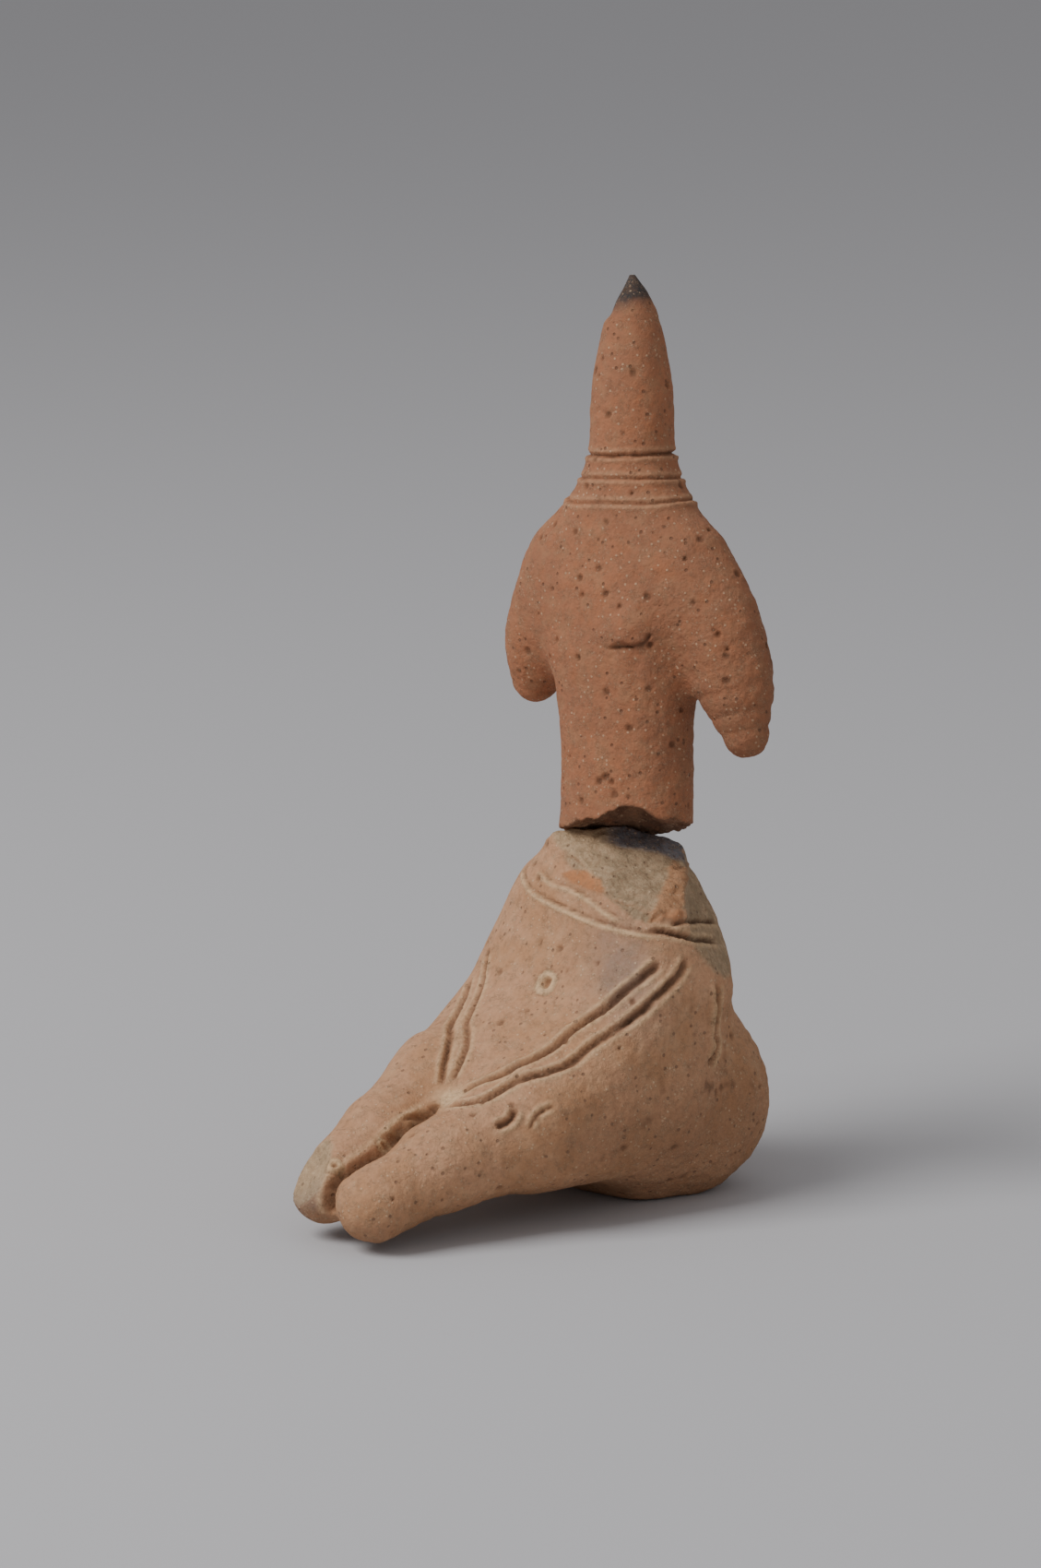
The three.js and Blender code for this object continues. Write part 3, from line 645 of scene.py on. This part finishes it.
    height = maths("MULTIPLY", noise(3.4, 4, 0.6), 0.1)
    height = maths("MULTIPLY_ADD", noise(1.2, 3, 0.6), 0.12, height)
    rough_height = maths("MULTIPLY", noise(1.7, 4, 0.65, 0.6), maths("ADD", coarse, broken))
    height = maths("MULTIPLY_ADD", rough_height, 0.22, height)
    height = maths("MULTIPLY_ADD", ghost, 0.03, height)
    height = maths("MULTIPLY_ADD", is_grain, 0.05, height)
    height = maths("MULTIPLY_ADD", is_grit, -0.1, height)
    bump = put(tree, "ShaderNodeBump", sockets={
        "Strength": 1.0, "Distance": 0.001, "Height": height}).outputs["Normal"]
    surface = put(tree, "ShaderNodeBsdfPrincipled", sockets={
        "Base Color": skin, "Roughness": 0.92, "Specular IOR Level": 0.25, "Normal": bump})
    put(tree, "ShaderNodeOutputMaterial", sockets={"Surface": surface.outputs[0]})
    return material


def clay_piece(name, points, quads, marks, material):
    """A fragment as a Blender mesh in metres, with its marks as attributes."""
    mesh = bpy.data.meshes.new(name)
    mesh.from_pydata(((points + ground_shift) / 1000).tolist(), [], quads.tolist())
    mesh.polygons.foreach_set("use_smooth", np.ones(len(quads), bool))
    for mark_name, amount in marks.items():
        layer = mesh.attributes.new(mark_name, "FLOAT", "POINT")
        layer.data.foreach_set("value", np.clip(amount, 0, 1).astype(np.float32))
    mesh.materials.append(material)
    mesh.update()
    piece = bpy.data.objects.new(name, mesh)
    bpy.context.collection.objects.link(piece)
    return piece


lower_clay = fired_clay("buff_low_fired_clay", {
    "skin": "#C39472", "flush": "#B98A66", "tan": "#CBA07C", "orange": "#B5764C",
    "brown_stain_and_shade": "#8C6448", "sand": "#B09678", "sand_dark": "#9A8468", "core": "#77767A",
    "core_dark": "#55565C", "soot": "#77706C", "slip": "#DDB98F", "chaff": "#E2C39F",
    "grit": "#6A5244", "groove": "#5E4130", "ghosts": 0.5, "grains": 0.45})
hips_and_legs = clay_piece("hips_and_legs_clay", worn_seat, quads, lower.colour, lower_clay)
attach(hips_and_legs, "root")
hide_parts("hips_and_legs")

# Torso and head
# The upper fragment: a flat torso with two tapering arm stubs and a plain peg for neck and head,
# rolled and pinched from the same clay and fired a little redder, with three rings cut round
# its neck. It rests with its broken underside on the waist, turned and leaning back a little.

upper_cell = 0.222
upper_room = ((-19.5, -8.5, -3), (20, 8.5, 59.6))
torso_foot = np.array([0.4, 0.4, 39.3])
torso_turn = math.radians(10)
torso_lean = math.radians(6.5)

torso_sections = (
    (-6, 7.9, -5.8, 5.8, -0.3),
    (7, 7.6, -5.4, 5.5, 0.1),
    (14, 8.1, -5.8, 5.5, 0.1),
    (20, 9.6, -6.2, 5.8, -0.2),
    (26, 11.4, -6, 5.9, -0.2),
    (30.5, 10.6, -5.5, 5.6, 0),
    (34, 8.2, -5, 5.2, 0.3),
    (37, 5.9, -4.7, 4.9, 0.6),
    (40, 4.7, -4.4, 4.5, 0.7),
    (46, 4.3, -4.1, 4.1, 0.7),
    (51, 3.6, -3.5, 3.5, 0.7),
    (54.6, 2.7, -2.7, 2.7, 0.7),
    (56.8, 1.8, -1.8, 1.8, 0.7),
    (58.8, 0.3, -0.3, 0.3, 0.7),
)
left_arm = ((8, 0.2, 27.5, 4.6), (11.3, 0.5, 22.5, 5), (13.3, 0.8, 17, 4.6), (14.9, 1.2, 10.6, 2.7))
right_arm = ((-8, 0.2, 27.5, 4.4), (-10.6, 0.5, 22.5, 4.6), (-12.2, 0.9, 19, 4.2),
             (-13.4, 1.6, 15.4, 2.8))


def stub(p, through):
    """An arm stub, bent and tapering, and flattened front to back."""
    flatness = 0.86
    knots = np.array(through, float)
    stations = np.arange(len(knots), dtype=float)
    at = np.linspace(0, stations[-1], 10)
    x, y, z, radius = (smooth_curve(stations, knots[:, k], at) for k in range(4))
    centres = np.stack([x, y / flatness, z], 1)
    q = p / (1, flatness, 1)
    parts = [
        roll(q, centres[k], centres[k + 1], radius[k], radius[k + 1]) for k in range(len(at) - 1)
    ]
    return np.min(parts, axis=0) * flatness


def upper_body(p):
    """Torso, arms, neck and head before the break, upright."""
    body = stacked(p, torso_sections, 2.15, 2.15)
    body = join(body, stub(p, left_arm), 2.4)
    return join(body, stub(p, right_arm), 2.4)


turn = np.array([[math.cos(torso_turn), -math.sin(torso_turn), 0],
                 [math.sin(torso_turn), math.cos(torso_turn), 0], [0, 0, 1]])
lean_axis = np.array([math.cos(math.radians(48)), math.sin(math.radians(48)), 0])
cross = np.array([[0, 0, lean_axis[1]], [0, 0, -lean_axis[0]], [-lean_axis[1], lean_axis[0], 0]])
lean = np.eye(3) - math.sin(torso_lean) * cross + (1 - math.cos(torso_lean)) * cross @ cross
stance = lean @ turn


def torso_cut(p):
    """Depth below the broken underside: it rests behind, and is arched and hollow in front."""
    standing = p @ stance.T + torso_foot
    along, away = bearing(standing)
    front = 0.3 * np.maximum(-1 - away, 0)
    back = 0.4 * np.maximum(away + 1, 0)
    arched = 1.5 * np.exp(-((along - 0.8) / 2.2) ** 2) * ease(-away, 0.1, 3.1)
    scooped = 1.6 * np.exp(-((along - 0.5) / 4) ** 2) * np.exp(-((away + 2) / 2.4) ** 2)
    raised = np.maximum(ridge_height(along, away) + 0.3, 39.4 + front - back + arched + scooped)
    crumbs = lumps(standing, ((2.6, 0.3), (1.1, 0.22), (0.5, 0.12)), 121)
    return raised + 0.12 + crumbs - standing[:, 2]


def upper_form(p):
    """The upper fragment as it is, with its broken underside."""
    return trim(upper_body(p), torso_cut(p), 0.3)


points, quads = clay_skin(upper_form, upper_room, upper_cell)
points = onto_skin(upper_form, points, 2, 0.3 * upper_cell)
upper = ClayMarks(upper_form, points, facing(points, quads))
x, y, z = points.T

# the broken underside, crumbly, its sandy colour darkened with painted shade where it faces down under
# the torso
broken = ease(torso_cut(points) - upper_body(points), -0.25, 0.25)
upper.add("broken", broken)
upper.add("brown_stain_and_shade", 0.9 * broken)

# the skin, uneven from the fingers and rougher down the left side
near_side = ease(x, 0, 9) * ease(26 - z, -4, 4)
coarse = (0.35 + 0.5 * near_side) * (1 - broken) * ease(52 - z, 0, 8)
upper.add("coarse", coarse)
upper.raised += (1 - broken) * lumps(points, ((6, 0.16), (2.6, 0.07)), 131)
upper.raised += (0.4 + coarse) * (1 - broken) * lumps(points, ((1.3, 0.07), (0.6, 0.05)), 141)

# the rings round the neck, each cut by turning a blade round it
ring_turns = np.linspace(0, 2 * math.pi, 15)[:-1]
for n, (up, dip, depth, width) in enumerate(
        ((39.9, 0.25, 0.42, 0.6), (37.5, 0.1, 0.26, 0.5), (35.2, 0.3, 0.22, 0.5))):
    radius = 4.4 + 0.6 * max(39.9 - up, 0)
    ring = np.stack([0.7 + radius * np.sin(ring_turns), -radius * np.cos(ring_turns),
                     up - dip * np.maximum(np.cos(ring_turns), 0)], 1)
    ring = np.vstack([ring, ring[:1]])
    upper.groove(ring, depth, width, left_lip=0.06, right_lip=0.2, fade=0.01, seed=20 + n,
                 dark=0.8, pale=0.45)

# the stump of the left breast, with its lower edge undercut where the rest came away
off = (points - (4.6, -5.6, 21.2)) @ np.array(
    [[math.cos(math.radians(38)), -math.sin(math.radians(38)), 0],
     [math.sin(math.radians(38)), math.cos(math.radians(38)), 0], [0, 0, 1]]).T
across = (points[:, 0] - 4.6) * math.cos(math.radians(38)) + (
    points[:, 1] + 5.6) * math.sin(math.radians(38))
lump = np.exp(-((across / 2.4) ** 2 + ((z - 21.5) / 2.6) ** 2)) * (y < -2)
shelf = ease(z + 0.3 * np.sin(across * 2.2), 19.6, 19.95)
upper.raised += lump * shelf * 0.85
upper.groove(((2.3, -6.2, 19.4), (4, -6, 19.5), (6, -5.2, 19.9), (6.9, -4.8, 21.0)), 0.4, 0.6,
             seed=30, fade=0.5, dark=1.0)

# the chip off the left of the tip, and the black of the fire on it
chip_axis = np.array([-math.cos(math.radians(38)), -math.sin(math.radians(38)), 0.45])
chip_axis /= np.linalg.norm(chip_axis)
chip = np.maximum((points - (0.7, 0, 56.6)) @ chip_axis - 1.15, 0)
upper.raised -= chip * ease(z, 53.5, 55)
tip_noise = lumps(points, ((2, 0.5), (0.8, 0.3)), 151)
upper.add("soot", ease(z + 0.9 * tip_noise - 0.25 * across, 54.6, 56.6))
# painted shade: the torso browner towards its left side, away from the light
upper.add("brown_stain_and_shade", 0.3 * ease(x, 3, 12))
upper.add("red", 0.35 * ease(tip_noise, 0, 0.5))
upper.burnt_out_chaff(120, 161, broken < 0.2)

upper_clay = fired_clay("red_low_fired_clay", {
    "skin": "#A86F50", "flush": "#9E6A4E", "tan": "#A87A5A", "orange": "#B06C46",
    "brown_stain_and_shade": "#7A5640", "sand": "#8E6A52", "sand_dark": "#6E4E3C", "core": "#6A6260",
    "core_dark": "#4A4442", "soot": "#3A3838", "slip": "#C79A76", "chaff": "#D8B694",
    "grit": "#553D30", "groove": "#4E3526", "ghosts": 0.45, "grains": 0.5})
standing = upper.placed() @ stance.T + torso_foot
torso_and_head = clay_piece("torso_and_head_clay", standing, quads, upper.colour, upper_clay)
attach(torso_and_head, "root")
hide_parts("torso_and_head")

# Floor, light and camera
# A plain pale studio floor, a large soft light up on the left, a weak wide fill, and a long lens
# from the left front, a little above the figurine.
floor_mesh = bpy.data.meshes.new("floor")
half = 6.0
floor_mesh.from_pydata([(-half, -half, -0.0001), (half, -half, -0.0001), (half, half, -0.0001),
                        (-half, half, -0.0001)], [], [(0, 1, 2, 3)])
floor = bpy.data.objects.new("floor", floor_mesh)
bpy.context.collection.objects.link(floor)
floor_paint = bpy.data.materials.new("pale_grey_studio_board")
floor_paint.use_nodes = True
floor_shader = floor_paint.node_tree.nodes["Principled BSDF"]
floor_shader.inputs["Base Color"].default_value = linear("#BEBDBF")
floor_shader.inputs["Roughness"].default_value = 1.0
floor_shader.inputs["Specular IOR Level"].default_value = 0.0
floor_mesh.materials.append(floor_paint)

turn, rise = math.radians(48), math.radians(11)
towards = np.array([math.sin(turn) * math.cos(rise), -math.cos(turn) * math.cos(rise), math.sin(rise)])
right = np.array([math.cos(turn), math.sin(turn), 0])
upward = np.array([-math.sin(turn) * math.sin(rise), math.cos(turn) * math.sin(rise), math.cos(rise)])
aim = (-10.75 * right + 43.0 * upward + ground_shift) / 1000


def aimed(thing, place, at):
    """Puts a lamp or a camera at a place, looking at a point."""
    made = bpy.data.objects.new(thing.name, thing)
    bpy.context.collection.objects.link(made)
    made.location = place
    made.rotation_mode = "QUATERNION"
    made.rotation_quaternion = (Vector(at) - Vector(place)).to_track_quat("-Z", "Y")
    return made


for name, direction, distance, size, power in (
        ("key", (-0.62, 0.66, 0.42), 0.9, 0.5, 7.0),
        ("fill", (0.5, 0.2, 0.9), 1.4, 1.2, 1.2)):
    lamp = bpy.data.lights.new(name, "AREA")
    lamp.shape = "SQUARE"
    lamp.size = size
    lamp.energy = power
    way = direction[0] * right + direction[1] * upward + direction[2] * towards
    way /= np.linalg.norm(way)
    aimed(lamp, tuple(aim + way * distance), tuple(aim))

world = bpy.data.worlds.new("studio")
world.use_nodes = True
world.node_tree.nodes["Background"].inputs["Color"].default_value = (0.9, 0.9, 0.92, 1)
world.node_tree.nodes["Background"].inputs["Strength"].default_value = 0.45
bpy.context.scene.world = world

lens = bpy.data.cameras.new("photo_camera")
lens.lens = 135.5
lens.sensor_width = 36
lens.clip_start, lens.clip_end = 0.01, 50
bpy.context.scene.camera = aimed(lens, tuple(aim + towards * 0.64), tuple(aim))
